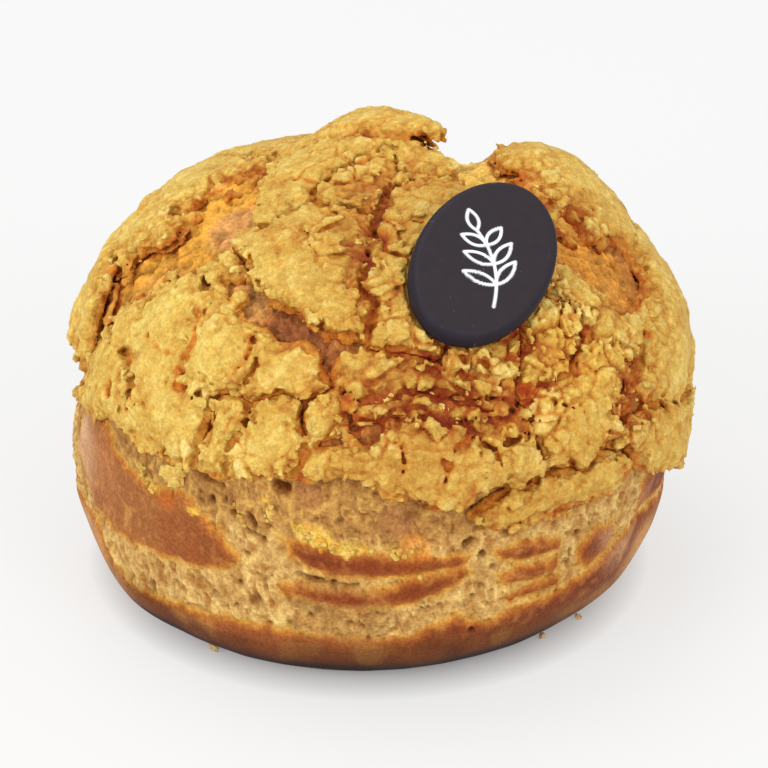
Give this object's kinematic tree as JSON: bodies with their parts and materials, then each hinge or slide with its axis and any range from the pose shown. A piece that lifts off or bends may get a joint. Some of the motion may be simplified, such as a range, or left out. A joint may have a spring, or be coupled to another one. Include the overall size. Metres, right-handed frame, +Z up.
{
  "type": "choux bun",
  "caption": "Round choux bun with a flat foot, a cracked craquelin crust and an oval dark chocolate plaque on its shoulder.",
  "frame": {"origin": "middle of the footprint's bounding box, on the ground the bun stands on", "axes": "+Z up; -Y is the front, where the low crust strip and the plaque face; +X is to its right"},
  "size_m": [0.0796, 0.0798, 0.0585],
  "materials": {
    "choux": "baked choux skin, satin brown where smooth, pale and fibrous where torn",
    "craquelin": "dry, crumbly golden biscuit crust",
    "chocolate": "dark chocolate, satin, rounded edge"
  },
  "bodies": {
    "root": {"choux": "choux", "chocolate_plaque": "chocolate", "craquelin_crown_cap": "craquelin", "craquelin_crown_left": "craquelin", "craquelin_crown_front": "craquelin", "craquelin_crown_right": "craquelin", "craquelin_crown_back": "craquelin", "craquelin_left_rim": "craquelin", "craquelin_valley_chip": "craquelin", "craquelin_right_shoulder": "craquelin", "craquelin_right_rim": "craquelin", "craquelin_right_rim_end": "craquelin", "craquelin_front_left": "craquelin", "craquelin_front_left_edge": "craquelin", "craquelin_front_left_upper": "craquelin", "craquelin_front_left_inner": "craquelin", "craquelin_front_left_finger": "craquelin", "craquelin_front_left_block": "craquelin", "craquelin_front_left_wedge": "craquelin", "craquelin_centre_upper": "craquelin", "craquelin_centre_sliver": "craquelin", "craquelin_front_centre": "craquelin", "craquelin_front_centre_chip": "craquelin", "craquelin_below_plaque": "craquelin", "craquelin_beside_plaque": "craquelin", "craquelin_right_front_upper": "craquelin", "craquelin_right_front": "craquelin", "craquelin_front_strip": "craquelin", "craquelin_left_hem": "craquelin", "craquelin_back_left": "craquelin", "craquelin_back_right": "craquelin", "craquelin_back_left_upper": "craquelin", "craquelin_back_right_upper": "craquelin"}
  },
  "joints": []
}
